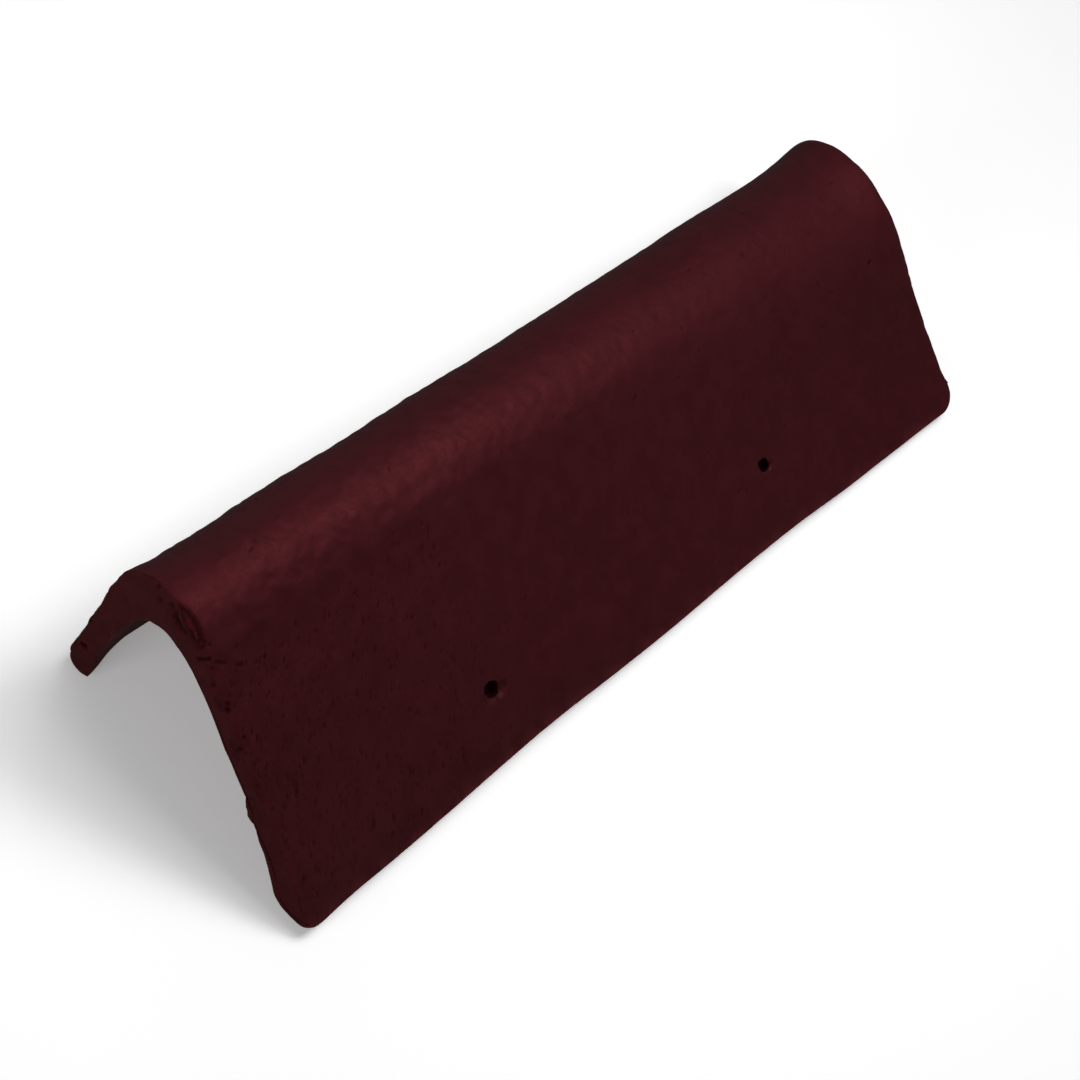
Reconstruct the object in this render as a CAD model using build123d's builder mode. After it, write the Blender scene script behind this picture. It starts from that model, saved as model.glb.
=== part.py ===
# Verge tile: one pressed concrete piece, a tapered inverted-V section with a
# thick rounded ridge, a short steep flange and a long flange with two nail holes.
# It stands on the lower edges of its two flanges. X runs along the length from
# the large lower end to the small upper end, Z is up, the origin is the centre
# of the footprint on the floor. Millimetres.
from build123d import *
import os

os.makedirs("parts", exist_ok=True)

# ---- driving dimensions -------------------------------------------------
LENGTH = 420.0            # overall length of the tile
Y_MID = 59.435            # middle of the footprint, measured across from the long flange's side
HOLE_D = 6.0              # nail holes in the long flange
HOLE_X = (116.7, 295.3)   # their distance from the lower end
HOLE_Y = (19.3, 24.4)     # their distance across
HOLE_Z = (24.1, 22.9)     # height of the flange's outer face there
CORNER_LOW = (12.0, 5.0)  # rounding of the long flange's corner at the lower end: along X, up the flange
CORNER_UP = (11.0, 11.0)   # and at the upper end
EDGE_R = 1.3              # worn rounding of the end faces' edges

# (distance from the lower end, amount): gentle waves left by handling while green
EDGE_WAVE = ((0, -0.6), (25, 0.9), (45, 1.0), (65, 1.2), (95, 2.0), (140, 3.1), (200, 2.2),
             (280, 3.0), (310, 2.5), (335, 1.6), (380, 0.9), (420, 0.0))    # lift of the long flange's edge
RIDGE_WAVE = ((0, 0.0), (40, -0.4), (80, 0.1), (115, -0.5), (150, -0.2), (180, -0.8), (230, -0.8),
              (275, -1.2), (345, -0.9), (385, -1.5), (420, 1.0))             # lift of the ridge
TIP_WAVE = ((0, 1.3), (6, 0.6), (14, -0.6), (25, -0.9), (50, -0.4), (95, 0.0), (420, 0.0))  # the short flange's lip

# Section points (across, up), first at the large lower end, then at the small
# upper end.  The outer line runs from the long flange foot over the ridge to the
# short flange tip, the inner line runs back.
OUTER_LOW = [(-8.2, 5.0), (3.2, 15.1), (19.2, 26.8), (35.4, 38.3), (51.4, 49.7),
             (65.4, 59.4), (75.4, 66.5), (83.8, 72.8), (92.2, 77.9), (101.0, 80.4),
             (110.0, 79.5), (117.6, 75.4), (122.5, 69.0), (124.5, 59.4),
             (124.8, 48.0), (124.7, 36.0), (125.2, 24.0), (126.7, 9.3)]
TIP_LOW = [(126.7, 9.3), (126.4, 4.2), (124.2, 0.9), (120.9, 0.05), (117.9, 1.3)]
INNER_LOW = [(117.9, 1.3), (117.0, 9.6), (115.8, 20.1), (114.7, 31.2), (113.4, 41.2),
             (111.5, 50.2), (107.8, 58.5), (101.4, 62.8), (93.2, 62.6), (84.0, 60.0),
             (75.5, 55.8), (65.5, 49.2), (53.0, 40.5), (42.0, 32.6), (30.2, 24.0),
             (18.6, 14.1), (8.2, 3.4)]
FOOT_LOW = [(8.2, 3.4), (4.6, 0.9), (-0.6, 0.45), (-5.8, 1.8), (-8.2, 5.0)]

OUTER_UP = [(-3.2, 4.4), (5.0, 8.8), (17.0, 15.4), (30.0, 23.1), (42.0, 30.9),
            (53.5, 38.9), (63.3, 45.2), (72.5, 49.8), (82.0, 53.0), (92.0, 54.9),
            (102.0, 54.7), (110.5, 52.3), (117.6, 47.8), (122.6, 41.2),
            (124.9, 32.6), (125.4, 23.5), (125.7, 15.4), (126.6, 6.9)]
TIP_UP = [(126.6, 6.9), (125.9, 3.4), (123.0, 0.7), (120.0, 0.05), (117.6, 1.4)]
INNER_UP = [(117.6, 1.4), (116.2, 6.1), (115.2, 11.9), (114.4, 18.5), (113.4, 25.5),
            (111.4, 31.9), (107.4, 37.8), (101.2, 42.0), (93.8, 43.3), (85.0, 42.3),
            (76.5, 39.5), (66.5, 35.1), (56.0, 29.0), (45.5, 22.2), (34.0, 15.0),
            (22.0, 8.2), (10.0, 1.6)]
FOOT_UP = [(10.0, 1.6), (6.4, 0.3), (2.0, 0.06), (-1.8, 1.2), (-3.2, 4.4)]


def smooth(table, x):
    """Natural cubic curve through a table of (distance, amount) points."""
    n = len(table)
    h = [table[i + 1][0] - table[i][0] for i in range(n - 1)]
    low, mid, up, rhs = [0.0] * n, [1.0] * n, [0.0] * n, [0.0] * n
    for i in range(1, n - 1):
        low[i], mid[i], up[i] = h[i - 1], 2.0 * (h[i - 1] + h[i]), h[i]
        rhs[i] = 6.0 * ((table[i + 1][1] - table[i][1]) / h[i] - (table[i][1] - table[i - 1][1]) / h[i - 1])
    for i in range(1, n):
        k = low[i] / mid[i - 1]
        mid[i] -= k * up[i - 1]
        rhs[i] -= k * rhs[i - 1]
    m = [0.0] * n
    m[-1] = rhs[-1] / mid[-1]
    for i in range(n - 2, -1, -1):
        m[i] = (rhs[i] - up[i] * m[i + 1]) / mid[i]
    k = max(i for i in range(n - 1) if table[i][0] <= x or i == 0)
    t, g = x - table[k][0], h[k]
    a, b = table[k][1], table[k + 1][1]
    return (m[k] * (g - t) ** 3 + m[k + 1] * t ** 3) / (6 * g) \
        + (a / g - m[k] * g / 6) * (g - t) + (b / g - m[k + 1] * g / 6) * t


def clip(v):
    return min(1.0, max(0.0, v))


def section_line(low, up, x):
    """Points of one line of the section, between the two end sections."""
    s = x / LENGTH
    pts = []
    for (y0, z0), (y1, z1) in zip(low, up):
        y = y0 + (y1 - y0) * s
        z = z0 + (z1 - z0) * s
        edge = smooth(EDGE_WAVE, x) * clip(1.0 - max(y, 0.0) / 45.0)
        ridge = smooth(RIDGE_WAVE, x) * clip((y - 60.0) / 30.0) * clip((z - 15.0) / 20.0)
        y += edge + 0.6 * ridge
        z += (0.7 - 0.13 * s) * edge + 0.8 * ridge
        if y > 100.0:
            y -= smooth(TIP_WAVE, x) * clip((126.5 - y) / 8.0) * clip(1.0 - z / 60.0)
        pts.append((y - Y_MID, z))
    return pts


STATIONS = (0.0, 7.0, 16.0, 30.0, 50.0, 80.0, 115.0, 150.0, 180.0, 230.0, 275.0, 310.0, 345.0, 385.0,
            405.0, LENGTH)

with BuildPart() as verge_tile:
    # the pressed body, lofted through its sections
    for x in STATIONS:
        with BuildSketch(Plane(origin=(x - LENGTH / 2, 0, 0), x_dir=(0, 1, 0), z_dir=(1, 0, 0))):
            with BuildLine():
                Spline(*section_line(OUTER_LOW, OUTER_UP, x))
                Spline(*section_line(TIP_LOW, TIP_UP, x))
                Spline(*section_line(INNER_LOW, INNER_UP, x))
                Spline(*section_line(FOOT_LOW, FOOT_UP, x))
            make_face()
    loft(ruled=False)

    # worn edges round both end faces
    end_faces = verge_tile.faces().sort_by(Axis.X)
    fillet(end_faces[0].edges() + end_faces[-1].edges(), radius=EDGE_R)

    # rounded lower corners of the long flange, cut square to its face
    flange = Plane(origin=(0, 20.0 - Y_MID, 18.0), x_dir=(1, 0, 0), z_dir=(0, -0.56, 0.83))
    for end, (rx, rz), foot in ((-1, CORNER_LOW, -30.9), (1, CORNER_UP, -27.1)):
        with BuildSketch(flange):
            with BuildLine():
                Polyline((end * (LENGTH / 2 - rx), foot), (end * (LENGTH / 2 - rx), foot - 8),
                         (end * (LENGTH / 2 + 6), foot - 8), (end * (LENGTH / 2 + 6), foot + rz),
                         (end * LENGTH / 2, foot + rz))
                EllipticalCenterArc((end * (LENGTH / 2 - rx), foot + rz), rx, rz,
                                    start_angle=270 if end > 0 else 180, arc_size=90)
            make_face()
        extrude(amount=24, both=True, mode=Mode.SUBTRACT)

    # nail holes through the long flange, square to its face
    for hx, hy, hz in zip(HOLE_X, HOLE_Y, HOLE_Z):
        with Locations(Plane(origin=(hx - LENGTH / 2, hy - Y_MID - 0.8, hz + 1.2),
                             x_dir=(1, 0, 0), z_dir=(0, -0.545, 0.838))):
            Hole(radius=HOLE_D / 2, depth=30)

verge_tile.part.label = "verge_tile"
export_step(verge_tile.part, "parts/verge_tile.step")
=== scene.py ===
# Verge tile: dark wine-red slurry-coated pressed concrete, seen from the large lower end.
import bpy
import bmesh
import math
import random
import numpy as np
from mathutils import Matrix, Vector
from mathutils.kdtree import KDTree


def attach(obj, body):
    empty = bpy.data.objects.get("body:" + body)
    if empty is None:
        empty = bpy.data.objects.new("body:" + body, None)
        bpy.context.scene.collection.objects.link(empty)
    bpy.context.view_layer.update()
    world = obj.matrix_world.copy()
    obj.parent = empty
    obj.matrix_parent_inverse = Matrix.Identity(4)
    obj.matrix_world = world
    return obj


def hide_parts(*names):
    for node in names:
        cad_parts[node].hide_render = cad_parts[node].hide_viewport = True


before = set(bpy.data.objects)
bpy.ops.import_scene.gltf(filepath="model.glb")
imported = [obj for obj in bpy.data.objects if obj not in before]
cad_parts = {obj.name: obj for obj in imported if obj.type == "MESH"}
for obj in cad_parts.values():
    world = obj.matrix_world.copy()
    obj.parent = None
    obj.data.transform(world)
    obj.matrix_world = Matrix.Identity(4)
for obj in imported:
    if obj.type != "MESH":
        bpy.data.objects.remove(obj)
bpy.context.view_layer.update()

# ---------------------------------------------------------------------------
# The section, in millimetres, as the CAD has it (but for the lower end's corner)
# ---------------------------------------------------------------------------
LENGTH = 420.0
Y_MID = 59.435
HOLE_D = 6.0
HOLES = ((116.7, 19.3, 24.1), (295.3, 24.4, 22.9))   # on the long flange's outer face
HOLE_DIR = (0.0, -0.545, 0.838)
CORNER_LOW = (9.0, 3.3)      # squarer than the CAD's, as the worn corner of this tile is
CORNER_UP = (11.0, 11.0)
TIP_CORNER = (2.4, 2.4)
EDGE_R = 1.3

EDGE_WAVE = [(0, -0.6), (25, 0.9), (45, 1.0), (65, 1.2), (95, 2.0), (140, 3.1), (200, 2.2),
             (280, 3.0), (310, 2.5), (335, 1.6), (380, 0.9), (420, 0.0)]
RIDGE_WAVE = [(0, 0.0), (40, -0.4), (80, 0.1), (115, -0.5), (150, -0.2), (180, -0.8), (230, -0.8),
              (275, -1.2), (345, -0.9), (385, -1.5), (420, 1.0)]
TIP_WAVE = [(0, 1.3), (6, 0.6), (14, -0.6), (25, -0.9), (50, -0.4), (95, 0.0), (420, 0.0)]

OUTER_LOW = [(-8.2, 5.0), (3.2, 15.1), (19.2, 26.8), (35.4, 38.3), (51.4, 49.7),
             (65.4, 59.4), (75.4, 66.5), (83.8, 72.8), (92.2, 77.9), (101.0, 80.4),
             (110.0, 79.5), (117.6, 75.4), (122.5, 69.0), (124.5, 59.4),
             (124.8, 48.0), (124.7, 36.0), (125.2, 24.0), (126.7, 9.3)]
TIP_LOW = [(126.7, 9.3), (126.4, 4.2), (124.2, 0.9), (120.9, 0.05), (117.9, 1.3)]
INNER_LOW = [(117.9, 1.3), (117.0, 9.6), (115.8, 20.1), (114.7, 31.2), (113.4, 41.2),
             (111.5, 50.2), (107.8, 58.5), (101.4, 62.8), (93.2, 62.6), (84.0, 60.0),
             (75.5, 55.8), (65.5, 49.2), (53.0, 40.5), (42.0, 32.6), (30.2, 24.0),
             (18.6, 14.1), (8.2, 3.4)]
FOOT_LOW = [(8.2, 3.4), (4.6, 0.9), (-0.6, 0.45), (-5.8, 1.8), (-8.2, 5.0)]

OUTER_UP = [(-3.2, 4.4), (5.0, 8.8), (17.0, 15.4), (30.0, 23.1), (42.0, 30.9),
            (53.5, 38.9), (63.3, 45.2), (72.5, 49.8), (82.0, 53.0), (92.0, 54.9),
            (102.0, 54.7), (110.5, 52.3), (117.6, 47.8), (122.6, 41.2),
            (124.9, 32.6), (125.4, 23.5), (125.7, 15.4), (126.6, 6.9)]
TIP_UP = [(126.6, 6.9), (125.9, 3.4), (123.0, 0.7), (120.0, 0.05), (117.6, 1.4)]
INNER_UP = [(117.6, 1.4), (116.2, 6.1), (115.2, 11.9), (114.4, 18.5), (113.4, 25.5),
            (111.4, 31.9), (107.4, 37.8), (101.2, 42.0), (93.8, 43.3), (85.0, 42.3),
            (76.5, 39.5), (66.5, 35.1), (56.0, 29.0), (45.5, 22.2), (34.0, 15.0),
            (22.0, 8.2), (10.0, 1.6)]
FOOT_UP = [(10.0, 1.6), (6.4, 0.3), (2.0, 0.06), (-1.8, 1.2), (-3.2, 4.4)]

CTRL = {name: (np.array(low, float), np.array(up, float)) for name, low, up in (
    ("outer", OUTER_LOW, OUTER_UP), ("tip", TIP_LOW, TIP_UP),
    ("inner", INNER_LOW, INNER_UP), ("foot", FOOT_LOW, FOOT_UP))}


def second_derivatives(u, p):
    m = len(u)
    a = np.zeros((m, m))
    b = np.zeros((m,) + p.shape[1:])
    h = np.diff(u)
    a[0, 0] = a[-1, -1] = 1.0
    for i in range(1, m - 1):
        a[i, i - 1], a[i, i], a[i, i + 1] = h[i - 1], 2 * (h[i - 1] + h[i]), h[i]
        b[i] = 6 * ((p[i + 1] - p[i]) / h[i] - (p[i] - p[i - 1]) / h[i - 1])
    return np.linalg.solve(a, b)


def smooth(table, x):
    """Natural cubic curve through a table of (distance, amount) points."""
    u = np.array([t[0] for t in table], float)
    v = np.array([t[1] for t in table], float)
    m = second_derivatives(u, v)
    k = int(np.clip(np.searchsorted(u, x, "right") - 1, 0, len(u) - 2))
    t, g = x - u[k], u[k + 1] - u[k]
    return m[k] * (g - t) ** 3 / (6 * g) + m[k + 1] * t ** 3 / (6 * g) \
        + (v[k] / g - m[k] * g / 6) * (g - t) + (v[k + 1] / g - m[k + 1] * g / 6) * t


def even_spline(p, n=900):
    """n points at even steps along the cubic spline through p."""
    u = np.r_[0.0, np.cumsum(np.hypot(*np.diff(p, axis=0).T))]
    mm = second_derivatives(u, p)
    h = np.diff(u)
    t = np.linspace(0, u[-1], 2 * n)
    k = np.clip(np.searchsorted(u, t, "right") - 1, 0, len(u) - 2)
    x = (t - u[k])[:, None]
    hk = h[k][:, None]
    y = (mm[k] * (hk - x) ** 3 + mm[k + 1] * x ** 3) / (6 * hk) \
        + (p[k] / hk - mm[k] * hk / 6) * (hk - x) + (p[k + 1] / hk - mm[k + 1] * hk / 6) * x
    s = np.r_[0.0, np.cumsum(np.hypot(*np.diff(y, axis=0).T))]
    e = np.linspace(0, s[-1], n)
    return np.c_[np.interp(e, s, y[:, 0]), np.interp(e, s, y[:, 1])]


def section(name, x):
    """One line of the section at a distance x from the lower end: even points, (across, up)."""
    s = x / LENGTH
    low, up = CTRL[name]
    p = low * (1 - s) + up * s
    y, z = p[:, 0].copy(), p[:, 1].copy()
    e = smooth(EDGE_WAVE, x) * np.clip(1.0 - np.maximum(y, 0.0) / 45.0, 0.0, 1.0)
    r = smooth(RIDGE_WAVE, x) * np.clip((y - 60.0) / 30.0, 0.0, 1.0) * np.clip((z - 15.0) / 20.0, 0.0, 1.0)
    y += e + 0.6 * r
    z += (0.7 - 0.13 * s) * e + 0.8 * r
    y -= smooth(TIP_WAVE, x) * np.clip((126.5 - y) / 8.0, 0.0, 1.0) * np.clip(1.0 - z / 60.0, 0.0, 1.0) * (y > 100)
    return even_spline(np.c_[y, z], 900 if name in ("outer", "inner") else 160)


def cut(line, a, b, n):
    """n even points of a line between arc distances a from its start and b from its end."""
    s = np.r_[0.0, np.cumsum(np.hypot(*np.diff(line, axis=0).T))]
    e = a + np.linspace(0, 1, n) * (s[-1] - a - b)
    return np.c_[np.interp(e, s, line[:, 0]), np.interp(e, s, line[:, 1])]


def fitted(line, p, q, n):
    """n points of a nose line, moved and scaled so that it runs from p to q."""
    w = np.linspace(0, 1, n)
    s = np.linspace(0, 1, len(line))
    c = np.c_[np.interp(w, s, line[:, 0]), np.interp(w, s, line[:, 1])]
    za, zb = complex(*c[0]), complex(*c[-1])
    zp, zq = complex(*p), complex(*q)
    k = (zq - zp) / (zb - za)
    z = (c[:, 0] + 1j * c[:, 1] - za) * k + zp
    return np.c_[z.real, z.imag]


N_LINE = 380      # points along each of the two long lines of the section
N_NOSE = 22       # points round the foot and round the tip


def corner(x, low, up):
    """How far the rounded corners push a flange's edge back at x."""
    c = 0.0
    for d, (rx, rz) in ((x, low), (LENGTH - x, up)):
        if d < rx:
            c = max(c, rz * (1.0 - math.sqrt(max(0.0, 1.0 - ((rx - d) / rx) ** 2))))
    return c


# how much fuller the edges of the lower end are: (across, amount) up to the arch, (up, amount) on the short flange
FULL_IN = [(8, 0.5), (14, 0.1), (22, 0.0), (25, 0.5), (28, 1.0), (30, 1.5), (32.5, 2.3), (34.2, 2.1), (36, 0.8), (38, 0.1),
           (41, 0.4), (45, 0.6), (49, 1.1), (53.4, 1.3), (57, 1.9), (61, 1.6), (66, 1.2), (72, 1.2), (76, 1.6), (84, 1.7),
           (88, 1.8), (93, 2.3), (97, 2.2), (100, 2.4), (104, 2.6)]
FULL_IN_UP = [(40, 0.4), (50, 0.6), (54, 1.0), (57.5, 1.8), (61.5, 2.6)]
FULL_OUT_UP = [(9, 0.0), (18, 0.6), (30, 1.2), (60, 1.4), (72, 1.3), (78, 0.6), (81, 0.4)]


def fuller(line, amount):
    """Moves a line of the section outwards, within its plane."""
    t = np.gradient(line, axis=0)
    t /= np.hypot(*t.T)[:, None]
    return line + amount[:, None] * np.c_[-t[:, 1], t[:, 0]]


def loop(x, turn):
    """The closed section at x: outer line, tip, inner line, foot."""
    cf = corner(x, CORNER_LOW, CORNER_UP)
    ct = corner(x, TIP_CORNER, TIP_CORNER)
    outer = cut(section("outer", x), cf, ct, N_LINE)
    inner = cut(section("inner", x), ct, cf, N_LINE)
    if x < 30.0:
        f = math.exp(-(x / 9.0) ** 2)
        y, z = inner.T
        w = np.where(y < 104.0, np.interp(y, *np.array(FULL_IN).T), np.interp(z, *np.array(FULL_IN_UP).T)) * f
        w += np.interp(x, (0, 8, 24), (2.1, 1.8, 0)) * np.clip((16.0 - z) / 12.0, 0, 1) * (y > 104.0)
        inner = fuller(inner, w)
        outer = fuller(outer, np.interp(outer[:, 1], *np.array(FULL_OUT_UP).T) * np.clip((outer[:, 0] - 100.0) / 12.0, 0, 1) * f)
    tip = fitted(section("tip", x), outer[-1], inner[0], N_NOSE)
    foot = fitted(section("foot", x), inner[-1], outer[0], N_NOSE)
    ring = np.vstack([outer, tip[1:-1], inner, foot[1:-1]])
    # worn rounding of the end faces' edges
    d = min(x, LENGTH - x)
    if d < EDGE_R:
        inset = EDGE_R - math.sqrt(max(0.0, EDGE_R ** 2 - (EDGE_R - d) ** 2))
        t = np.roll(ring, -1, axis=0) - np.roll(ring, 1, axis=0)
        t /= np.hypot(*t.T)[:, None]
        ring = ring + inset * np.c_[t[:, 1], -t[:, 0]] * turn
    return ring


_r = loop(LENGTH / 2, 1.0)
_area = 0.5 * np.sum(_r[:, 0] * np.roll(_r[:, 1], -1) - np.roll(_r[:, 0], -1) * _r[:, 1])
TURN = 1.0 if _area < 0 else -1.0     # which way the inset goes into the solid

# stations along the length, closer together where the finest marks are
q1 = 1 - np.cos(np.linspace(0, math.pi / 2, 10))
xs = np.concatenate([
    EDGE_R * q1, CORNER_LOW[0] * (1 - np.cos(np.linspace(0, math.pi / 2, 30))),
    np.arange(2.0, 80.0, 0.44), np.arange(80.0, 150.0, 0.56), np.arange(150.0, LENGTH - 12.0, 0.8),
    np.arange(LENGTH - 12.0, LENGTH, 0.55),
    LENGTH - EDGE_R * q1, LENGTH - CORNER_UP[0] * (1 - np.cos(np.linspace(0, math.pi / 2, 24)))])
xs = np.unique(np.round(xs, 4))
keep = [xs[0]]
for v in xs[1:]:
    if v - keep[-1] > (0.02 if min(v, LENGTH - v) < EDGE_R + 0.1 else 0.3):
        keep.append(v)
if keep[-1] != LENGTH:
    keep[-1] = LENGTH
xs = np.array(keep)

rings = np.array([loop(x, TURN) for x in xs])      # stations x ring x 2
n_x, n_r = rings.shape[:2]
verts = np.zeros((n_x, n_r, 3))
verts[:, :, 0] = xs[:, None]
verts[:, :, 1:] = rings
verts = verts.reshape(-1, 3)

# what each point of the ring belongs to: 0 outer, 1 tip, 2 inner, 3 foot, and its arc length
kind_ring = np.r_[np.zeros(N_LINE), np.ones(N_NOSE - 2), 2 * np.ones(N_LINE), 3 * np.ones(N_NOSE - 2)].astype(int)
arc = np.zeros((n_x, n_r))
seg = np.hypot(*np.moveaxis(np.diff(rings, axis=1), 2, 0))
arc[:, 1:] = np.cumsum(seg, axis=1)
arc = arc.reshape(-1)
kind = np.tile(kind_ring, n_x)

ii, jj = np.meshgrid(np.arange(n_x - 1), np.arange(n_r), indexing="ij")
jn = (jj + 1) % n_r
faces = [np.stack([ii * n_r + jj, ii * n_r + jn, (ii + 1) * n_r + jn, (ii + 1) * n_r + jj], -1).reshape(-1, 4)]


def cap(station, flip):
    """Fills an end of the tube with a grid between its outer and inner line."""
    global verts
    base = station * n_r
    m = N_NOSE - 1
    idx = np.zeros((N_LINE, N_NOSE), int)
    idx[:, 0] = base + np.arange(N_LINE)
    idx[:, m] = (base + N_LINE + N_NOSE - 2 + np.arange(N_LINE))[::-1]
    idx[-1, 1:m] = base + N_LINE + np.arange(N_NOSE - 2)
    idx[0, 1:m] = (base + 2 * N_LINE + N_NOSE - 2 + np.arange(N_NOSE - 2))[::-1]
    p = verts
    u = np.linspace(0, 1, N_LINE)[1:-1, None, None]
    v = np.linspace(0, 1, N_NOSE)[None, 1:-1, None]
    a, b = p[idx[1:-1, 0]][:, None], p[idx[1:-1, m]][:, None]
    c, d = p[idx[0, 1:-1]][None], p[idx[-1, 1:-1]][None]
    c00, c01, c10, c11 = p[idx[0, 0]], p[idx[0, m]], p[idx[-1, 0]], p[idx[-1, m]]
    g = (1 - v) * a + v * b + (1 - u) * c + u * d - (
        (1 - u) * (1 - v) * c00 + (1 - u) * v * c01 + u * (1 - v) * c10 + u * v * c11)
    start = len(verts)
    verts = np.vstack([verts, g.reshape(-1, 3)])
    idx[1:-1, 1:-1] = start + np.arange(g.shape[0] * g.shape[1]).reshape(g.shape[:2])
    q = np.stack([idx[:-1, :-1], idx[1:, :-1], idx[1:, 1:], idx[:-1, 1:]], -1).reshape(-1, 4)
    faces.append(q[:, ::-1] if flip else q)


cap(0, True)
cap(n_x - 1, False)
faces = np.vstack(faces)
n_cap = len(verts) - len(kind)
kind = np.r_[kind, np.full(n_cap, 4)]
arc = np.r_[arc, np.zeros(n_cap)]


def mesh_from(name, v, f):
    me = bpy.data.meshes.new(name)
    me.vertices.add(len(v))
    me.vertices.foreach_set("co", (v * 0.001).astype(np.float32).ravel())
    me.loops.add(f.size)
    me.loops.foreach_set("vertex_index", f.astype(np.int32).ravel())
    me.polygons.add(len(f))
    me.polygons.foreach_set("loop_start", (np.arange(len(f)) * f.shape[1]).astype(np.int32))
    me.update(calc_edges=True)
    me.validate()
    return me


def unit_normals(v, f):
    """Area-weighted vertex normals, pointing out of the solid."""
    n = np.cross(v[f[:, 2]] - v[f[:, 0]], v[f[:, 3]] - v[f[:, 1]])
    out = np.zeros_like(v)
    for k in range(4):
        for c in range(3):
            out[:, c] += np.bincount(f[:, k], n[:, c], minlength=len(v))
    out /= np.maximum(np.linalg.norm(out, axis=1), 1e-12)[:, None]
    return out


# signed volume tells whether the faces point outwards
_v = np.einsum("ij,ij->i", verts[faces[:, 0]], np.cross(verts[faces[:, 1]], verts[faces[:, 2]])).sum() \
    + np.einsum("ij,ij->i", verts[faces[:, 0]], np.cross(verts[faces[:, 2]], verts[faces[:, 3]])).sum()
if _v < 0:
    faces = faces[:, ::-1]
nrm = unit_normals(verts, faces)

# ---------------------------------------------------------------------------
# Relief: pressed waviness, lumps, orange peel, drag marks and pits
# ---------------------------------------------------------------------------


def noise(p, scale, seed):
    """Smooth gradient noise, about -1 to 1, at points p, with cells of the given size."""
    q = p / scale + np.array([17.3, 5.1, 9.7]) * (seed + 1)
    i = np.floor(q).astype(np.int64)
    f = q - i
    w = f * f * f * (f * (f * 6 - 15) + 10)
    out = np.zeros(len(p))
    for dx in (0, 1):
        for dy in (0, 1):
            for dz in (0, 1):
                c = i + np.array([dx, dy, dz])
                h = (c[:, 0] * 374761393 + c[:, 1] * 668265263 + c[:, 2] * 2147483647 + seed * 144269) & 0xFFFFFFFF
                h = ((h ^ (h >> 13)) * 1274126177) & 0xFFFFFFFF
                h = h ^ (h >> 16)
                g1 = ((h & 1023) / 511.5 - 1.0)
                g2 = (((h >> 10) & 1023) / 511.5 - 1.0)
                g3 = (((h >> 20) & 1023) / 511.5 - 1.0)
                d = f - np.array([dx, dy, dz])
                ww = (w[:, 0] if dx else 1 - w[:, 0]) * (w[:, 1] if dy else 1 - w[:, 1]) * (w[:, 2] if dz else 1 - w[:, 2])
                out += ww * (g1 * d[:, 0] + g2 * d[:, 1] + g3 * d[:, 2])
    return out * 1.6


def step(a, b, v):
    t = np.clip((v - a) / (b - a), 0, 1)
    return t * t * (3 - 2 * t)


co = verts
x_, y_, z_ = co.T
outer = (kind == 0).astype(float)
inner = (kind == 2).astype(float)
ends = (kind == 4).astype(float)
near_end = np.minimum(x_, LENGTH - x_)

push = 0.26 * noise(co, 75.0, 1) + 0.15 * noise(co, 26.0, 2) - 0.34
# the coat's hammered look: shallow blotches and finer grit, strongest over the ridge
lumps = 0.20 * noise(co, 14.0, 15) + 0.30 * noise(co, 6.6, 3) + 0.14 * noise(co, 3.3, 4)
lump_w = (0.16 + 0.84 * step(66, 92, y_)) * (1.0 - 0.62 * step(120, 380, x_))
push += outer * lumps * lump_w
# the soft fold where the ridge's roundness meets the long flange
fold = arc - (111.5 - 0.043 * x_) - 2.2 * noise(np.c_[x_, 0 * x_, 0 * x_], 21.0, 16)
push += outer * 0.30 * np.exp(-(fold / 3.6) ** 2) * (1.0 - 0.55 * step(110, 330, x_)) * (0.7 + 0.5 * noise(co, 9.0, 17))
# drag marks down the long flange, towards the lower end
drag = np.c_[(x_ * 0.87 - arc * 0.49) / 1.25, (x_ * 0.49 + arc * 0.87) / 4.6, np.zeros(len(co))]
dm = noise(drag, 1.0, 8)
push -= outer * 0.12 * np.clip(dm - 0.10, 0, 1) * (1 - step(90, 190, x_)) * (1 - step(84, 104, arc)) * step(4, 16, arc)
# the ridge drops off towards the lower end and flares at the upper one
push -= outer * 0.7 * np.clip(1.0 - x_ / 8.0, 0, 1) ** 2 * step(40, 62, z_) * step(62, 92, y_) * (1 - step(100, 116, y_))
push += outer * 1.2 * step(398, 420, x_) * step(24, 46, z_) * step(40, 80, y_)
# the underside and the cut ends are rougher
push += inner * (0.11 * noise(co, 8.0, 5) + 0.03 * noise(co, 3.6, 6))
push += (ends + 0.0) * (0.10 * noise(co, 5.0, 7) + 0.06 * noise(co, 2.2, 9) - 0.05)
# edges worn unevenly
edge_w = np.exp(-(near_end / 2.2) ** 2) * (1 - ends)
push -= edge_w * (0.22 + 0.42 * np.clip(noise(co, 9.0, 10), 0, 1) + 0.3 * np.clip(noise(co, 3.5, 11), 0, 1))
nose = ((kind == 1) | (kind == 3)).astype(float)
push += nose * (0.16 * noise(co, 8.0, 12) + 0.08 * noise(co, 3.0, 13))

# nick in the inner edge of the lower end, and the thicker foot beside it
nick = np.exp(-(x_ / 6.0) ** 2) * inner
push += nick * (2.3 * np.exp(-((y_ - 37.3) / 3.6) ** 2) - 0.9 * np.exp(-((y_ - 44.0) / 3.2) ** 2))
foot_w = np.r_[np.tile(np.r_[np.zeros(2 * N_LINE + N_NOSE - 2), np.linspace(1, 0, N_NOSE)[1:-1]], n_x), np.zeros(n_cap)]
push += np.exp(-(x_ / 14.0) ** 2) * 2.1 * (inner * (1 - step(26.0, 33.0, y_)) + foot_w)

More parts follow.
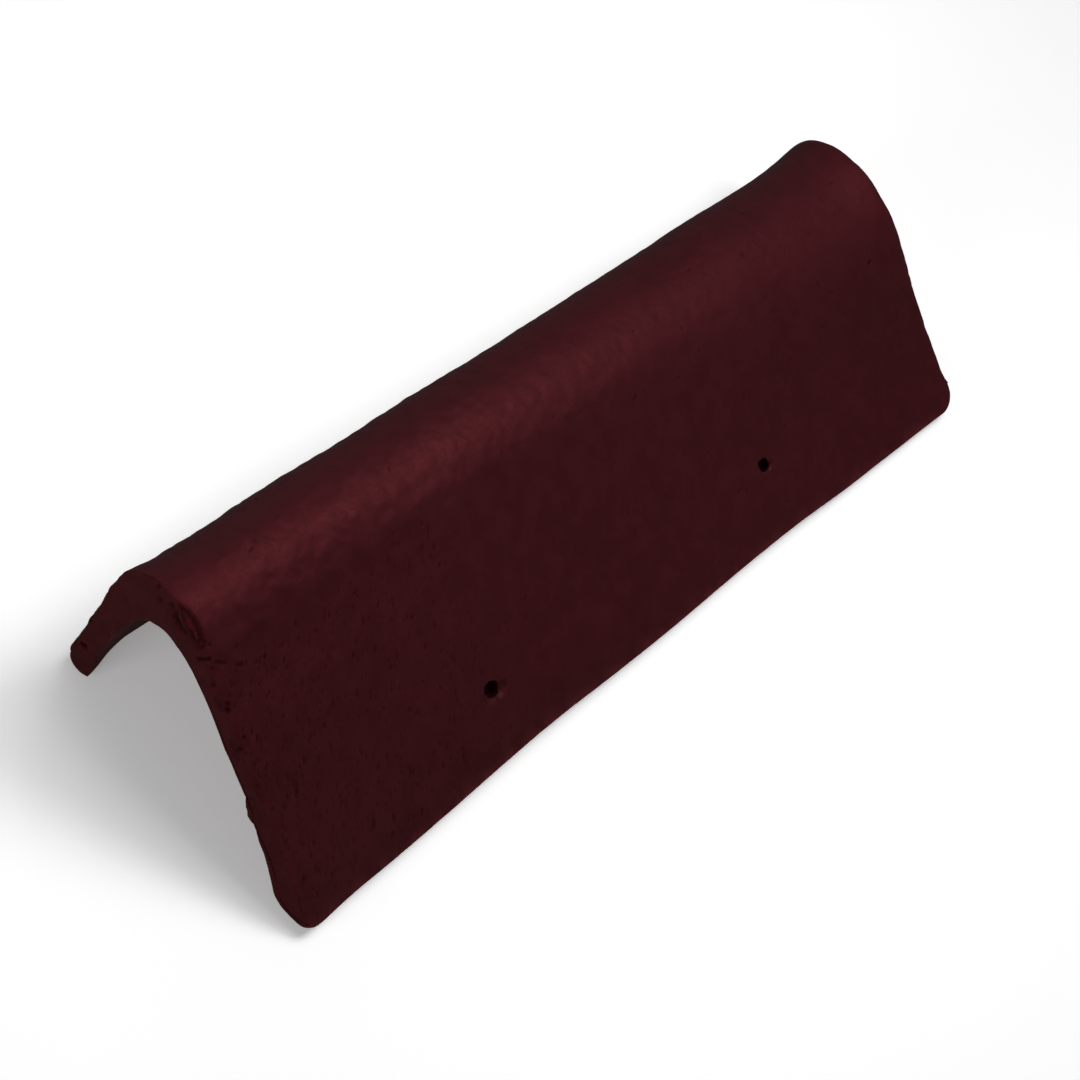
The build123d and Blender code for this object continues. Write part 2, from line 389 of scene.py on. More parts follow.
# marks: (x, arc along the outer line, half width, half length, depth, lean of the long axis, painted shade in a dent,
# or paleness as a negative number for a raised lip)
rng = random.Random(41)
LEAN = math.atan2(0.49, 0.87)
pits = [(1.9, 92.2, 1.1, 1.3, 0.6, 0.3, 0.8), (3.0, 78.5, 1.0, 1.6, 0.5, 0.2, 0.7), (8.0, 75.3, 0.8, 2.4, 0.4, LEAN, 0.6),
        (16.0, 48.7, 1.3, 2.9, 0.4, LEAN, 0.6), (22.0, 39.9, 0.8, 1.8, 0.35, LEAN, 0.6), (5.0, 19.5, 1.5, 2.9, 0.35, 0.9, 0.5),
        (24.0, 97.9, 0.9, 1.6, 0.5, LEAN, 0.6),
        (396.0, 77.8, 0.8, 1.7, 0.5, 1.4, 0.7), (14.0, 108.5, 0.7, 1.3, 0.4, LEAN, 0.5), (31.0, 92.0, 0.7, 1.5, 0.4, LEAN, 0.5),
        (300.5, 119.0, 0.6, 1.8, 0.3, 1.2, 0.4), (330.0, 112.0, 0.6, 1.6, 0.3, 1.0, 0.4),
        # the broken line of dashes that runs in from the lower end, below the ridge
        (5.2, 107.3, 1.15, 3.6, 0.35, 2.15, 0.62), (12.6, 102.2, 1.15, 3.0, 0.35, 2.15, 0.66),
        (19.6, 98.4, 0.9, 2.2, 0.25, 2.15, 0.40), (1.9, 116.4, 0.8, 1.6, 0.5, 0.5, 0.6), (3.4, 115.2, 0.6, 1.0, 0.4, 0.5, 0.5)]
for _ in range(420):
    px = 3.0 + 118.0 * rng.random() ** 1.4
    pa = 8.0 + 94.0 * rng.random() ** 0.9
    w = 0.40 + 0.34 * rng.random() ** 1.6
    pits.append((px, pa, w, w * (1.7 + 1.8 * rng.random()), 0.14 + 0.26 * rng.random() ** 1.5,
                 LEAN + rng.gauss(0, 0.20), 0.22 + 0.36 * rng.random()))
for _ in range(120):     # scattered over the ridge and the rest of the length
    w = 0.45 + 0.45 * rng.random()
    pits.append((8.0 + 400.0 * rng.random(), 6.0 + 175.0 * rng.random(), w, w * (1.0 + 1.4 * rng.random()),
                 0.08 + 0.16 * rng.random(), rng.random() * 3.1, 0.2 + 0.3 * rng.random()))
# round the nail holes: a shallow saucer beside each and a torn, raised lip below
hole_arc = []
for hx, hy, hz in HOLES:
    line = section("outer", hx)
    run = np.r_[0.0, np.cumsum(np.hypot(*np.diff(line, axis=0).T))]
    hole_arc.append(float(run[np.argmin(np.hypot(line[:, 0] - hy, line[:, 1] - hz))]) - corner(hx, CORNER_LOW, CORNER_UP))
for (hx, hy, hz), ha, big in zip(HOLES, hole_arc, (1.0, 0.7)):
    pits.append((hx + 5.9 * big, ha - 1.9 * big, 3.4 * big, 2.8 * big, 0.5 * big, 0.3, 0.42 * big))
    pits.append((hx - 2.2 * big, ha + 7.6 * big, 1.0 * big, 1.3 * big, 0.16 * big, 0.3, 0.25))
    pits.append((hx + 3.0 * big, ha - 4.5 * big, 2.0 * big, 1.5 * big, -0.32 * big, 0.0, -0.9))
    pits.append((hx - 2.0 * big, ha - 4.6 * big, 3.0 * big, 1.1 * big, -0.20 * big, 0.1, -0.35))
out_i = np.where(kind == 0)[0]
ox, oa = x_[out_i], arc[out_i]
wob = 0.30 * noise(co[out_i], 0.9, 20) + 0.2 * noise(co[out_i], 2.3, 22)
order = np.argsort(ox)
sx = ox[order]
dent = np.zeros(len(out_i))
bulge = np.zeros(len(out_i))
recess_shade = np.zeros(len(co))
pale = np.zeros(len(co))
for px, pa, w, l, d, lean, shade_and_pale in pits:
    reach = 1.5 * max(w, l)
    a, b = np.searchsorted(sx, [px - reach, px + reach])
    k = order[a:b]
    k = k[np.abs(oa[k] - pa) < reach]
    u, v = ox[k] - px, oa[k] - pa
    along = u * math.sin(lean) + v * math.cos(lean)
    across = u * math.cos(lean) - v * math.sin(lean)
    r = np.sqrt((across / w) ** 2 + (along / l) ** 2) + wob[k]
    if d > 0:
        dent[k] = np.maximum(dent[k], d * np.clip(1 - r * r, 0, 1) ** 1.1)
        # the dent's darkening is painted shade in the hollow
        recess_shade[out_i[k]] = np.maximum(recess_shade[out_i[k]], shade_and_pale * np.clip(1.25 - 1.1 * r * r, 0, 1))
    else:
        bulge[k] = np.maximum(bulge[k], -d * np.clip(1 - r * r, 0, 1) ** 1.1)
        pale[out_i[k]] = np.maximum(pale[out_i[k]], -shade_and_pale * np.clip(1.2 - 1.2 * r * r, 0, 1))
push[out_i] -= dent
push[out_i] += bulge

# marks in the lower end face: (y0, z0, y1, z1, half width, depth, painted shade)
end_i = np.where((x_ < 1.4) & (kind != 2))[0]
ey, ez = y_[end_i], z_[end_i]
ew = 0.22 * noise(co[end_i], 1.2, 21) + 0.12 * noise(co[end_i], 3.0, 24)
end_marks = [(111.0, 77.6, 111.0, 77.6, 1.3, 0.9, 0.8), (107.4, 72.9, 107.4, 72.6, 1.1, 0.8, 0.65),
             (103.1, 76.1, 103.1, 75.4, 1.3, 0.9, 0.65), (122.3, 14.6, 121.2, 15.0, 1.2, 1.3, 0.9),
             # the crescent under the broken edge, the wedge below it and the dash that crosses the edge
             (100.4, 75.2, 99.2, 72.9, 1.15, 0.9, 0.55), (99.2, 72.9, 96.4, 71.3, 1.45, 1.15, 0.80),
             (96.4, 71.3, 93.8, 71.2, 1.15, 0.9, 0.75), (92.2, 73.7, 89.6, 72.4, 1.0, 1.2, 0.85),
             (84.6, 66.4, 81.2, 70.9, 0.85, 0.8, 0.85), (74.6, 63.3, 74.6, 62.6, 1.2, 0.6, 0.7),
             (65.3, 59.3, 65.0, 58.8, 1.4, 0.6, 0.8), (68.7, 58.7, 67.9, 57.6, 1.2, 0.4, 0.5),
             (53.5, 47.8, 53.0, 49.5, 1.2, 0.5, 0.75), (88.0, 73.0, 86.8, 71.0, 0.8, 0.7, 0.6),
             (86.0, 72.6, 85.2, 74.0, 0.8, 0.7, 0.6),
             # dark, worn patches further down, their darkness painted shade like the marks above
             (70.5, 59.0, 67.0, 57.0, 1.5, 0.4, 0.45), (57.0, 47.5, 52.5, 43.8, 1.7, 0.4, 0.45),
             (38.0, 33.0, 33.0, 29.5, 2.2, 0.4, 0.35)]
for _ in range(30):
    k = end_i[int(rng.random() * (len(end_i) - 1))]
    end_marks.append((y_[k], z_[k], y_[k], z_[k], 0.5 + 0.6 * rng.random(), 0.2 + 0.3 * rng.random(), 0.3))
shift = np.zeros(len(co))
for y0, z0, y1, z1, r0, d, shade_and_pale in end_marks:
    k = np.where((np.abs(ey - 0.5 * (y0 + y1)) < abs(y1 - y0) + 3 * r0) & (np.abs(ez - 0.5 * (z0 + z1)) < abs(z1 - z0) + 3 * r0))[0]
    dy, dz = y1 - y0, z1 - z0
    t = np.clip(((ey[k] - y0) * dy + (ez[k] - z0) * dz) / max(dy * dy + dz * dz, 1e-9), 0, 1)
    r = np.hypot(ey[k] - (y0 + t * dy), ez[k] - (z0 + t * dz)) / r0 + ew[k]
    shift[end_i[k]] = np.maximum(shift[end_i[k]], d * np.clip(1 - r * r, 0, 1) ** 0.9)
    # painted shade in the dent
    recess_shade[end_i[k]] = np.maximum(recess_shade[end_i[k]], shade_and_pale * np.clip(1.25 - 1.1 * r * r, 0, 1))

# the feet stay on the floor
push *= 0.1 + 0.9 * step(0.4, 5.0, z_)
new = co + nrm * push[:, None]
new[:, 0] += shift
new[:, 2] = np.maximum(new[:, 2], 0.03)
new[:, 0] = np.clip(new[:, 0], 0.02, LENGTH - 0.02)
new[:, 0] -= LENGTH / 2
new[:, 1] -= Y_MID
shade_and_pale_idx = np.where((recess_shade > 0.02) | (pale > 0.02))[0]
shade_and_pale_at = new[shade_and_pale_idx].copy()
shade_and_pale_val = np.c_[recess_shade[shade_and_pale_idx], pale[shade_and_pale_idx]]
me = mesh_from("verge_tile_body", new, faces)
tile = bpy.data.objects.new("verge_tile_body", me)
bpy.context.scene.collection.objects.link(tile)

# ---------------------------------------------------------------------------
# Cut: nail holes with broken rims, and chips along the lower end
# ---------------------------------------------------------------------------


def link(ob):
    bpy.context.scene.collection.objects.link(ob)
    return ob


def frame_at(d):
    """Rotation whose third axis is d and whose first stays close to X."""
    z = Vector(d).normalized()
    x = Vector((1, 0, 0))
    x = (x - z * x.dot(z)).normalized()
    return Matrix((x, z.cross(x), z)).transposed()


def hole_cutter(name, at, outline, seed):
    """A punched hole whose torn outer rim follows the outline, round below and ragged where it comes out."""
    r = random.Random(seed)
    ph = [r.random() * 6.283 for _ in range(6)]
    n = 72
    rim = []
    for i in range(n):
        a = 2 * math.pi * i / n
        ca, sa = math.cos(a), math.sin(a)
        far = 2.75
        for (px, py), (qx, qy) in zip(outline, outline[1:] + outline[:1]):
            ux, uy = qx - px, qy - py
            det = ca * uy - sa * ux
            if abs(det) > 1e-9:
                t, w = (px * uy - py * ux) / det, (px * sa - py * ca) / det
                if t > 0 and -1e-6 <= w <= 1 + 1e-6:
                    far = max(far, t)
        rim.append(far)
    rim = np.array(rim)
    rim = 0.5 * rim + 0.25 * (np.roll(rim, 1) + np.roll(rim, -1))
    rows = []
    for h, k, widen in ((5.0, 1.0, 1.2), (1.6, 1.0, 0.5), (0.6, 1.0, 0.22), (-0.1, 1.0, 0.06), (-1.0, 1.0, 0.0), (-2.2, 0.3, 0.1),
                        (-3.2, 0.0, 0.1), (-7.0, 0.0, 0.0), (-8.6, 0.0, 0.05), (-9.6, 0.0, 0.5), (-10.4, 0.0, 1.1),
                        (-14.0, 0.0, 2.4)):
        row = []
        for i in range(n):
            a = 2 * math.pi * i / n
            w = 0.05 * math.sin(3 * a + ph[1]) + 0.04 * math.sin(7 * a + ph[2]) + 0.03 * math.sin(11 * a + ph[3] + h)
            rag = 1.0 + 0.45 * math.sin(2 * a + ph[4]) + 0.35 * math.sin(5 * a + ph[5]) + 0.2 * math.sin(11 * a + ph[2])
            rad = k * rim[i] + (1 - k) * (HOLE_D / 2 + 0.06) + 0.6 * w + widen * max(0.3, rag)
            row.append((rad * math.cos(a), rad * math.sin(a), h))
        rows.append(row)
    bm = bmesh.new()
    vs = [[bm.verts.new(Vector(c) * 0.001) for c in row] for row in rows]
    for a, b in zip(vs[:-1], vs[1:]):
        for i in range(n):
            bm.faces.new((a[i], a[(i + 1) % n], b[(i + 1) % n], b[i]))
    bm.faces.new(vs[0][::-1])
    bm.faces.new(vs[-1])
    bmesh.ops.recalc_face_normals(bm, faces=bm.faces)
    m = bpy.data.meshes.new(name)
    bm.to_mesh(m)
    bm.free()
    m.transform(Matrix.Translation((Vector(at) - Vector((LENGTH / 2, Y_MID, 0))) * 0.001)
                @ frame_at(HOLE_DIR).to_4x4())
    return link(bpy.data.objects.new(name, m))


def rock_cutter(name, at, axes, radii, seed, rough=0.10, subdiv=4, flat=0.80):
    """A faceted lump whose surface becomes the broken face of a chip."""
    r = random.Random(seed)
    bm = bmesh.new()
    bmesh.ops.create_icosphere(bm, subdivisions=subdiv, radius=1.0)
    dirs = [Vector((r.gauss(0, 1), r.gauss(0, 1), r.gauss(0, 1))).normalized() for _ in range(16)]
    lev = [flat + 0.18 * r.random() for _ in dirs]
    off = Vector((r.random(), r.random(), r.random())) * 30
    pts = np.array([v.co[:] for v in bm.verts])
    n1 = noise(pts + np.array(off), 0.45, seed)
    n2 = noise(pts + np.array(off), 0.18, seed + 1)
    for v, a, b in zip(bm.verts, n1, n2):
        d = v.co.normalized()
        k = 1.0
        for q, l in zip(dirs, lev):
            c = d.dot(q)
            if c > 0.05:
                k = min(k, l / c)
        v.co = d * (k + rough * a + 0.4 * rough * b)
    m = bpy.data.meshes.new(name)
    bm.to_mesh(m)
    bm.free()
    ax = [Vector(a).normalized() for a in axes]
    mat = Matrix((ax[0] * radii[0], ax[1] * radii[1], ax[2] * radii[2])).transposed()
    m.transform(Matrix.Translation((Vector(at) - Vector((LENGTH / 2, Y_MID, 0))) * 0.001)
                @ (mat * 0.001).to_4x4())
    return link(bpy.data.objects.new(name, m))


# the torn outlines of the two nail holes: (along X, up the flange) from the hole's axis
RIMS = ([(4.06, 0.03), (3.8, 1.13), (2.5, 2.2), (1.48, 2.5), (0.38, 3.1), (-0.85, 2.85), (-2.04, 2.8), (-3.18, 2.33),
         (-3.89, 1.2), (-3.93, -0.49), (-3.26, -2.06), (-1.99, -3.1), (-0.59, -3.5), (0.76, -3.5), (1.55, -3.2),
         (2.7, -3.0), (2.81, -2.02), (3.64, -1.16)],
        [(2.9, 0.2), (2.2, 1.5), (0.19, 2.5), (-1.72, 2.8), (-3.1, 2.6), (-3.7, 0.9), (-3.3, -1.05), (-2.2, -2.6),
         (0.34, -2.9), (1.94, -2.3), (3.2, -1.35)])
cutters = [hole_cutter("hole_%d" % i, h, o, 5 + i) for i, (h, o) in enumerate(zip(HOLES, RIMS))]
# the broken edge below the ridge, and smaller chips beside it
cutters += [
    rock_cutter("spall_a", (-0.7, 94.4, 77.4), ((0, 0.90, 0.42), (0, -0.42, 0.90), (1, 0, 0)), (7.4, 3.0, 3.1), 3, 0.08),
    rock_cutter("spall_b", (-0.4, 89.6, 76.2), ((0, 0.8, 0.5), (0, -0.5, 0.8), (1, 0, 0)), (3.2, 2.0, 3.0), 9, 0.10),
    rock_cutter("spall_c", (-0.2, 85.6, 74.3), ((0, 0.8, 0.5), (0, -0.5, 0.8), (1, 0, 0)), (1.9, 1.1, 2.0), 11, 0.12),
    rock_cutter("spall_d", (-0.1, 82.4, 72.1), ((0, 0.8, 0.5), (0, -0.5, 0.8), (1, 0, 0)), (1.3, 0.8, 1.9), 13, 0.12),
    rock_cutter("spall_f", (-0.1, 101.0, 80.7), ((0, 0.95, 0.2), (0, -0.2, 0.95), (1, 0, 0)), (2.6, 0.9, 1.5), 14, 0.12),
    rock_cutter("notch_a", (-0.6, 125.2, 40.6), ((0, 0, 1), (0, 1, 0), (1, 0, 0)), (2.6, 1.3, 2.2), 15),
    rock_cutter("notch_b", (-0.4, 66.6, 61.0), ((0, 0.8, 0.55), (0, -0.55, 0.8), (1, 0, 0)), (1.6, 0.8, 1.6), 17),
    rock_cutter("notch_c", (-0.5, 52.8, 51.0), ((0, 0.8, 0.55), (0, -0.55, 0.8), (1, 0, 0)), (1.5, 0.7, 1.5), 19),
    rock_cutter("notch_d", (421.0, 110.8, 52.6), ((0, 0.8, -0.5), (0, 0.5, 0.8), (1, 0, 0)), (2.4, 0.9, 1.9), 21),
]


def apply_modifiers(ob):
    bpy.context.view_layer.update()
    dg = bpy.context.evaluated_depsgraph_get()
    m = bpy.data.meshes.new_from_object(ob.evaluated_get(dg))
    ob.modifiers.clear()
    old = ob.data
    ob.data = m
    bpy.data.meshes.remove(old)


for i, c in enumerate(cutters):
    md = tile.modifiers.new("cut_%d" % i, "BOOLEAN")
    md.operation = "DIFFERENCE"
    md.solver = "MANIFOLD"
    md.object = c
apply_modifiers(tile)
for c in cutters:
    m = c.data
    bpy.data.objects.remove(c)
    bpy.data.meshes.remove(m)

n_tri = sum(len(p.vertices) - 2 for p in tile.data.polygons)
md = tile.modifiers.new("thin", "DECIMATE")
md.decimate_type = "COLLAPSE"
md.ratio = min(1.0, 192000.0 / n_tri)
apply_modifiers(tile)
me = tile.data
me.name = "verge_tile_body"
box = np.zeros(len(me.vertices) * 3, np.float32)
me.vertices.foreach_get("co", box)
box = box.reshape(-1, 3)
box[:, 0] = np.clip(box[:, 0], -LENGTH / 2000 + 2e-5, LENGTH / 2000 - 2e-5)
box[:, 2] = np.maximum(box[:, 2], 2.8e-5)
me.vertices.foreach_set("co", box.ravel())
me.update()
print("triangles", n_tri, "->", sum(len(p.vertices) - 2 for p in me.polygons))

me.polygons.foreach_set("use_smooth", np.ones(len(me.polygons), bool))
me.set_sharp_from_angle(angle=math.radians(42))

# ---------------------------------------------------------------------------
# Where the coat is: 0 on the coated top, 1 on the bare underside; and worn edges
# ---------------------------------------------------------------------------
vc = np.zeros(len(me.vertices) * 3)
me.vertices.foreach_get("co", vc)
vc = vc.reshape(-1, 3) * 1000.0
vc[:, 0] += LENGTH / 2
vc[:, 1] += Y_MID
bare = np.zeros(len(vc))
wear = np.zeros(len(vc))
pitted = np.zeros(len(vc))
bins = np.clip((vc[:, 0] / 6.0).astype(int), 0, 69)
for b in range(70):
    k = np.where(bins == b)[0]
    if not len(k):
        continue
    xb = min(LENGTH, b * 6.0 + 3.0)
    o, n = section("outer", xb)[::5], section("inner", xb)[::5]
    q = vc[k, 1:]
    do = np.sqrt(((q[:, None] - o[None]) ** 2).sum(2))
    do_at = do.argmin(1)
    do = do.min(1)
    di = np.sqrt(((q[:, None] - n[None]) ** 2).sum(2)).min(1)
    bare[k] = step(-0.5, 2.5, do - di) * step(0.5, 1.6, np.minimum(vc[k, 0], LENGTH - vc[k, 0]))
    along = do_at * (np.hypot(*np.diff(o, axis=0).T).sum() / (len(o) - 1))
    pitted[k] = (1 - step(40, 118, vc[k, 0])) * (1 - step(80, 104, along)) * step(0.5, 4.0, vc[k, 0]) * (1 - bare[k])
    foot_d = np.hypot(q[:, 0] - o[0, 0], q[:, 1] - o[0, 1])
    tip_d = np.hypot(q[:, 0] - o[-1, 0], q[:, 1] - o[-1, 1])
    wear[k] = np.maximum(np.exp(-(foot_d / 3.0) ** 2), np.exp(-(tip_d / 3.0) ** 2))
end_d = np.minimum(vc[:, 0], LENGTH - vc[:, 0])
wear = np.maximum(wear, 0.55 * np.exp(-((end_d - 0.4) / 1.3) ** 2))
face = step(0.9, 0.25, end_d)
# painted shade in the pits and cracks and down the inside of the nail holes, and paler torn lips
kd = KDTree(len(shade_and_pale_at))
for i, p in enumerate(shade_and_pale_at):
    kd.insert(p, i)
kd.balance()
recess_shade_v = np.zeros(len(vc))
pale_v = np.zeros(len(vc))
local = vc - np.array([LENGTH / 2, Y_MID, 0.0])
for i, p in enumerate(local):
    _, j, dist = kd.find(p)
    if dist < 0.30:
        recess_shade_v[i], pale_v[i] = shade_and_pale_val[j]
# painted shade down the inside of the nail holes
for hx, hy, hz in HOLES:
    d = np.array(HOLE_DIR) / np.linalg.norm(HOLE_DIR)
    q = vc - np.array([hx, hy, hz])
    h = q @ d
    rad = np.linalg.norm(q - h[:, None] * d, axis=1)
    recess_shade_v = np.maximum(recess_shade_v, 0.95 * step(5.4, 4.6, rad) * step(-0.35, -1.1, h) * (h > -16))
# painted shade on the shadowed back wall of the broken edge: (x, y, z) points along it
wall = np.array([(0.6, 100.4, 79.6), (1.7, 97.2, 79.0), (2.2, 94.0, 77.8), (2.2, 91.0, 76.4), (1.4, 88.0, 74.9)])
for p, q in zip(wall[:-1], wall[1:]):
    k = np.where(np.abs(vc[:, 0]) < 6.0)[0]
    e = q - p
    t = np.clip(((vc[k] - p) @ e) / (e @ e), 0, 1)
    r = np.linalg.norm(vc[k] - (p + t[:, None] * e), axis=1) / 1.6 + 0.25 * noise(vc[k], 1.5, 25)
    recess_shade_v[k] = np.maximum(recess_shade_v[k], 0.62 * np.clip(1.3 - 1.1 * r * r, 0, 1))
for name, val in (("bare", bare), ("wear", wear), ("cut_face", face), ("recess_shade", recess_shade_v), ("pale", pale_v),
                  ("pitted", pitted)):
    at = me.attributes.new(name, "FLOAT", "POINT")
    at.data.foreach_set("value", val.astype(np.float32))

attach(tile, "root")
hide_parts("verge_tile")

# ---------------------------------------------------------------------------
# Material
# ---------------------------------------------------------------------------
mat = bpy.data.materials.new("wine_red_slurry_concrete")
mat.use_nodes = True
nt = mat.node_tree
bsdf = nt.nodes["Principled BSDF"]
L = nt.links.new


def node(kind_name, **inputs):
    n = nt.nodes.new(kind_name)
    for k, v in inputs.items():
        n.inputs[k.replace("_", " ")].default_value = v
    return n


tc = nt.nodes.new("ShaderNodeTexCoord")
OBJ = tc.outputs["Object"]


def tex_noise(scale, detail=3.0, rough=0.55, dist=0.0, vector=None):
    n = nt.nodes.new("ShaderNodeTexNoise")
    n.inputs["Scale"].default_value = scale
    n.inputs["Detail"].default_value = detail
    n.inputs["Roughness"].default_value = rough
    n.inputs["Distortion"].default_value = dist
    L(vector if vector is not None else OBJ, n.inputs["Vector"])
    return n.outputs["Fac"]


def remap(val, a, b, c=0.0, d=1.0, smooth_it=True):
    n = nt.nodes.new("ShaderNodeMapRange")
    n.interpolation_type = "SMOOTHSTEP" if smooth_it else "LINEAR"
    n.inputs["From Min"].default_value = a
    n.inputs["From Max"].default_value = b
    n.inputs["To Min"].default_value = c
    n.inputs["To Max"].default_value = d
    L(val, n.inputs["Value"])
    return n.outputs["Result"]


def math_node(op, a, b):
    n = nt.nodes.new("ShaderNodeMath")
    n.operation = op
    for s, v in zip(n.inputs, (a, b)):
        if isinstance(v, (int, float)):
            s.default_value = v
        else:
            L(v, s)
    return n.outputs[0]


def mix_color(fac, a, b, mode="MIX"):
    n = nt.nodes.new("ShaderNodeMix")
    n.data_type = "RGBA"
    n.blend_type = mode
    sock = {s.name: s for s in n.inputs if s.type == "RGBA"}
    fac_s = [s for s in n.inputs if s.name == "Factor" and s.type == "VALUE"][0]
    if isinstance(fac, (int, float)):
        fac_s.default_value = fac
    else:
        L(fac, fac_s)
    for s, v in ((sock["A"], a), (sock["B"], b)):
        if isinstance(v, tuple):
            s.default_value = v + (1.0,)
        else:
            L(v, s)
    return [o for o in n.outputs if o.type == "RGBA"][0]


def attr(name):
    n = nt.nodes.new("ShaderNodeAttribute")
    n.attribute_name = name
    return n.outputs["Fac"]


cloud = tex_noise(22.0, 4.0, 0.55)
patch = tex_noise(120.0, 4.0, 0.6)
grain = tex_noise(900.0, 3.0, 0.6)
fleck = tex_noise(520.0, 2.0, 0.5)

coat = mix_color(remap(cloud, 0.36, 0.64), (0.0295, 0.0043, 0.0060), (0.0330, 0.0050, 0.0069))
coat = mix_color(remap(patch, 0.36, 0.68, 0.0, 0.7), coat, (0.0380, 0.0060, 0.0081))
coat = mix_color(remap(grain, 0.52, 0.72, 0.0, 0.4), coat, (0.0225, 0.0026, 0.0038))
coat = mix_color(remap(fleck, 0.70, 0.78, 0.0, 0.3), coat, (0.0600, 0.0110, 0.0130))
# worn, paler edges
edge = math_node("MULTIPLY", attr("wear"), remap(patch, 0.35, 0.62, 0.10, 0.75))
coat = mix_color(edge, coat, (0.0640, 0.0120, 0.0150))
# cut end faces
cutc = mix_color(remap(patch, 0.35, 0.7), (0.0310, 0.0036, 0.0050), (0.0380, 0.0050, 0.0066))
cutc = mix_color(remap(fleck, 0.66, 0.78, 0.0, 0.35), cutc, (0.0200, 0.0026, 0.0038))
coat = mix_color(attr("cut_face"), coat, cutc)
# small leaning dashes in the pitted part, sunk by the bump further down and darkened with painted shade
lean_axis = Vector((0.49, 0.729, 0.474)).normalized()
flange_out = Vector((0.0, -0.545, 0.838)).normalized()
side_axis = lean_axis.cross(flange_out).normalized()
mp = nt.nodes.new("ShaderNodeMapping")
mp.vector_type = "TEXTURE"
mp.inputs["Rotation"].default_value = Matrix((side_axis, lean_axis, flange_out)).transposed().to_euler()
mp.inputs["Scale"].default_value = (1.0, 2.7, 1.0)
L(OBJ, mp.inputs["Vector"])
streak = tex_noise(620.0, 2.0, 0.5, 0.0, mp.outputs["Vector"])
dash = math_node("MULTIPLY", attr("pitted"), remap(streak, 0.60, 0.70, 0.0, 1.0))
# painted shade in the sunk dashes
coat = mix_color(math_node("MULTIPLY", dash, 0.34), coat, (0.0130, 0.0014, 0.0020))
# paler torn lips, then painted shade in the pits, cracks and nail holes
coat = mix_color(attr("pale"), coat, (0.0620, 0.0150, 0.0190))
# painted shade: near-black coat in the recesses
coat = mix_color(attr("recess_shade"), coat, (0.0045, 0.0006, 0.0009))
# bare through-coloured concrete underneath, with sand showing
under = mix_color(remap(cloud, 0.3, 0.7), (0.0480, 0.0110, 0.0120), (0.0640, 0.0170, 0.0170))
under = mix_color(remap(grain, 0.55, 0.72, 0.0, 0.55), under, (0.1100, 0.0520, 0.0470))
under = mix_color(remap(fleck, 0.62, 0.74, 0.0, 0.6), under, (0.0260, 0.0060, 0.0065))
color = mix_color(attr("bare"), coat, under)
L(color, bsdf.inputs["Base Color"])

rough = remap(patch, 0.3, 0.7, 0.47, 0.55)
rough = math_node("ADD", rough, remap(grain, 0.4, 0.7, 0.0, 0.06))
rough = math_node("ADD", rough, math_node("MULTIPLY", attr("cut_face"), 0.10))
rough = math_node("ADD", rough, math_node("MULTIPLY", attr("recess_shade"), 0.35))
rough = math_node("ADD", rough, math_node("MULTIPLY", attr("bare"), 0.36))
L(math_node("MINIMUM", rough, 0.95), bsdf.inputs["Roughness"])
bsdf.inputs["Specular IOR Level"].default_value = 0.25
bsdf.inputs["Specular Tint"].default_value = (1.0, 0.10, 0.13, 1.0)

# fine relief below the size of the mesh: grain, pinholes and drag lines
bump1 = nt.nodes.new("ShaderNodeBump")
bump1.inputs["Strength"].default_value = 0.45
bump1.inputs["Distance"].default_value = 0.00022
L(tex_noise(330.0, 4.0, 0.62), bump1.inputs["Height"])
bump2 = nt.nodes.new("ShaderNodeBump")
bump2.inputs["Strength"].default_value = 0.5
bump2.inputs["Distance"].default_value = 0.00012
L(math_node("SUBTRACT", 1.0, dash), bump2.inputs["Height"])
L(bump1.outputs["Normal"], bump2.inputs["Normal"])
bump3 = nt.nodes.new("ShaderNodeBump")
bump3.inputs["Strength"].default_value = 0.2
bump3.inputs["Distance"].default_value = 0.00006
L(grain, bump3.inputs["Height"])
L(bump2.outputs["Normal"], bump3.inputs["Normal"])
L(bump3.outputs["Normal"], bsdf.inputs["Normal"])
me.materials.clear()
me.materials.append(mat)

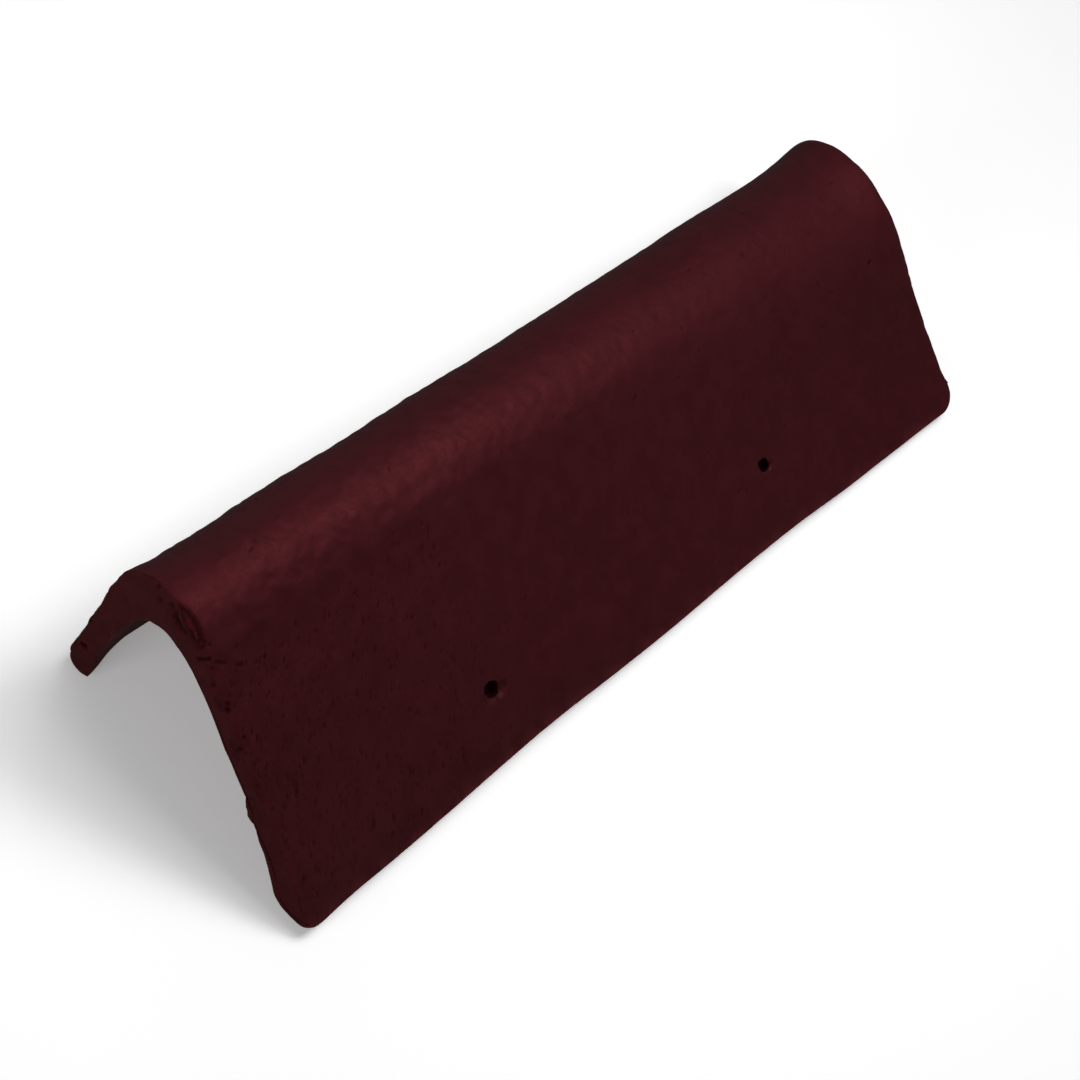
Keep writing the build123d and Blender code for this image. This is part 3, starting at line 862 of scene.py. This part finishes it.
# ---------------------------------------------------------------------------
# Floor, light and camera
# ---------------------------------------------------------------------------
bpy.ops.mesh.primitive_plane_add(size=14, location=(0, 0, 0))
floor = bpy.context.object
floor.name = "floor"
fm = bpy.data.materials.new("pale_floor")
fm.use_nodes = True
fb = fm.node_tree.nodes["Principled BSDF"]
fb.inputs["Base Color"].default_value = (0.95, 0.95, 0.95, 1)
fb.inputs["Roughness"].default_value = 1.0
fb.inputs["Specular IOR Level"].default_value = 0.0
fb.inputs["Emission Color"].default_value = (1, 1, 1, 1)
fb.inputs["Emission Strength"].default_value = 0.24
floor.data.materials.append(fm)
floor.visible_glossy = False

world = bpy.data.worlds.new("studio")
bpy.context.scene.world = world
world.use_nodes = True
world.node_tree.nodes["Background"].inputs["Color"].default_value = (1, 1, 1, 1)
world.node_tree.nodes["Background"].inputs["Strength"].default_value = 0.10


def area(name, loc, target, size, power):
    d = bpy.data.lights.new(name, "AREA")
    d.shape = "RECTANGLE"
    d.size, d.size_y = size
    d.energy = power
    o = bpy.data.objects.new(name, d)
    o.location = loc
    o.rotation_mode = "QUATERNION"
    o.rotation_quaternion = (Vector(target) - Vector(loc)).to_track_quat("-Z", "Y")
    bpy.context.scene.collection.objects.link(o)
    return o


bpy.context.scene.view_settings.view_transform = "Standard"
key = area("key_softbox", (0.365, -0.118, 0.771), (-0.19, 0.035, 0.08), (0.35, 0.30), 1.12)
key.data.spread = math.radians(110)
area("overhead_softbox", (0.75, 0.2, 1.85), (0, 0, 0), (1.4, 1.4), 18.0)
area("end_fill", (-1.25, 0.05, 0.42), (-0.2, 0.0, 0.03), (0.8, 0.5), 4.6)
area("back_softbox", (0.25, 1.25, 0.62), (0.0, 0.04, 0.05), (0.9, 0.5), 1.8)

cam = bpy.data.cameras.new("camera")
cam.sensor_width = 36.0
cam.lens = 106.919
cam.clip_start, cam.clip_end = 0.05, 50
cam_o = bpy.data.objects.new("camera", cam)
right = Vector((0.635164, -0.656691, 0.406601))
down = Vector((-0.465087, -0.745469, -0.477461))
ahead = Vector((0.616653, 0.114161, -0.778913))
rot = Matrix((right, -down, -ahead)).transposed()
cam_o.rotation_mode = "QUATERNION"
cam_o.rotation_quaternion = rot.to_quaternion()
cam_o.location = (-0.794199, -0.147088, 0.990091)
bpy.context.scene.collection.objects.link(cam_o)
bpy.context.scene.camera = cam_o

bpy.context.view_layer.update()
